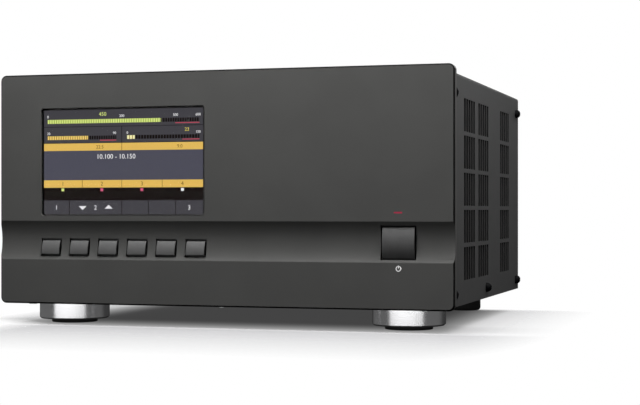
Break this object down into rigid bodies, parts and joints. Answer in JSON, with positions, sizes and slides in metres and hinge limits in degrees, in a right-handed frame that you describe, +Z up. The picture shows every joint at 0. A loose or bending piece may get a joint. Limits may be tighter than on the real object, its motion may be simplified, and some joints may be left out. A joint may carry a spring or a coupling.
{
  "type": "hf linear amplifier",
  "caption": "Desktop radio linear amplifier: thick black front plate with a display and keys, vented wrap-round cover, turned metal feet, rear fans, radio and mains sockets.",
  "frame": {"origin": "on the floor under the middle of the whole box, sockets at the back included", "axes": "+X to the right seen from the front, +Y from the front panel to the back, +Z up"},
  "size_m": [0.3148, 0.26, 0.1664],
  "materials": {
    "fascia": "fine matt black powder coat",
    "cover_paint": "matt black powder coat",
    "window_clear": "clear",
    "display_face": "lit display behind the window",
    "foam": "black foam",
    "zinc_steel": "zinc-plated",
    "key_plastic": "satin dark grey",
    "indicator_red": "red light",
    "board_green": "solder mask",
    "chip_black": "moulded",
    "switch_black": "moulded",
    "brass_post": "nickelled",
    "black_screw": "black oxide",
    "foot_metal": "turned and polished",
    "foot_rubber": "matt",
    "sink_metal": "extruded",
    "ferrite": "matt",
    "copper": "copper",
    "transistor_gold": "gold flange",
    "coil_wire": "enamelled copper wire",
    "relay_case": "blue",
    "transformer_tape": "yellow tape",
    "can_sleeve": "dark sleeve",
    "fan_plastic": "black",
    "guard_metal": "bright wire",
    "socket_metal": "nickel-plated",
    "socket_insulator": "white",
    "inlet_plastic": "black",
    "drawer_plastic": "black",
    "rocker_plastic": "black",
    "lead_jacket": "black",
    "ribbon_grey": "grey"
  },
  "bodies": {
    "case": {"amplifier_board": "board_green", "antenna_socket": "socket_metal", "button_switches": "switch_black", "case_rails": "sink_metal", "case_screws": "zinc_steel", "chassis_tray": "zinc_steel", "coax_lead": "lead_jacket", "cover_screws": "black_screw", "data_socket": "socket_metal", "display_bracket": "zinc_steel", "display_gasket": "foam", "display_module": "display_face", "display_window": "window_clear", "earth_stud": "socket_metal", "fan_frame_left": "fan_plastic", "fan_frame_right": "fan_plastic", "fan_guards": "guard_metal", "filter_board": "board_green", "filter_bridge": "zinc_steel", "filter_coils": "coil_wire", "filter_relays": "relay_case", "foot_screws": "zinc_steel", "front_board": "board_green", "front_board_parts": "chip_black", "front_foot_left": "foot_metal", "front_foot_pads": "foot_rubber", "front_foot_right": "foot_metal", "front_panel": "fascia", "heat_sink": "sink_metal", "input_socket": "socket_metal", "keying_jacks": "brass_post", "light_pipe": "indicator_red", "mains_inlet": "inlet_plastic", "mains_switch": "inlet_plastic", "network_socket": "socket_metal", "power_transistors": "transistor_gold", "rear_feet": "foot_rubber", "rear_panel": "cover_paint", "ribbon_cable": "ribbon_grey", "socket_cores": "socket_insulator", "standoffs": "brass_post", "supply_board": "board_green", "supply_capacitors": "can_sleeve", "supply_transformers": "transformer_tape", "supply_tray": "zinc_steel", "top_cover": "cover_paint", "transformer_cores": "ferrite", "transformer_tubes": "copper"},
    "key_1": {"soft_key_1": "key_plastic"},
    "key_2": {"soft_key_2": "key_plastic"},
    "key_3": {"soft_key_3": "key_plastic"},
    "key_4": {"soft_key_4": "key_plastic"},
    "key_5": {"soft_key_5": "key_plastic"},
    "key_6": {"soft_key_6": "key_plastic"},
    "power_key": {"power_button": "key_plastic"},
    "fan_left": {"fan_rotor_left": "fan_plastic"},
    "fan_right": {"fan_rotor_right": "fan_plastic"},
    "earth_nut": {"wing_nut": "brass_post"},
    "rocker": {"mains_rocker": "rocker_plastic"},
    "drawer": {"fuse_drawer": "drawer_plastic"}
  },
  "joints": [
    {"name": "key_1_press", "type": "slide", "parent": "case", "child": "key_1", "axis": [0, 1, 0], "range_m": [0, 0.0008], "stiffness_N_per_m": 1500},
    {"name": "key_2_press", "type": "slide", "parent": "case", "child": "key_2", "axis": [0, 1, 0], "range_m": [0, 0.0008], "stiffness_N_per_m": 1500},
    {"name": "key_3_press", "type": "slide", "parent": "case", "child": "key_3", "axis": [0, 1, 0], "range_m": [0, 0.0008], "stiffness_N_per_m": 1500},
    {"name": "key_4_press", "type": "slide", "parent": "case", "child": "key_4", "axis": [0, 1, 0], "range_m": [0, 0.0008], "stiffness_N_per_m": 1500},
    {"name": "key_5_press", "type": "slide", "parent": "case", "child": "key_5", "axis": [0, 1, 0], "range_m": [0, 0.0008], "stiffness_N_per_m": 1500},
    {"name": "key_6_press", "type": "slide", "parent": "case", "child": "key_6", "axis": [0, 1, 0], "range_m": [0, 0.0008], "stiffness_N_per_m": 1500},
    {"name": "power_press", "type": "slide", "parent": "case", "child": "power_key", "axis": [0, 1, 0], "range_m": [0, 0.0025], "stiffness_N_per_m": 800},
    {"name": "fan_left_spin", "type": "hinge", "parent": "case", "child": "fan_left", "pos_m": [0.016, 0.1, 0.092], "axis": [0, 1, 0], "continuous": true},
    {"name": "fan_right_spin", "type": "hinge", "parent": "case", "child": "fan_right", "pos_m": [0.1, 0.1, 0.092], "axis": [0, 1, 0], "continuous": true},
    {"name": "earth_nut_turn", "type": "hinge", "parent": "case", "child": "earth_nut", "pos_m": [-0.136, 0.11945, 0.112], "axis": [0, 1, 0], "range_deg": [-720, 0]},
    {"name": "rocker_tip", "type": "hinge", "parent": "case", "child": "rocker", "pos_m": [-0.058, 0.11345, 0.04], "axis": [1, 0, 0], "range_deg": [-16, 0]},
    {"name": "drawer_pull", "type": "slide", "parent": "case", "child": "drawer", "axis": [0, 1, 0], "range_m": [0, 0.014]}
  ]
}
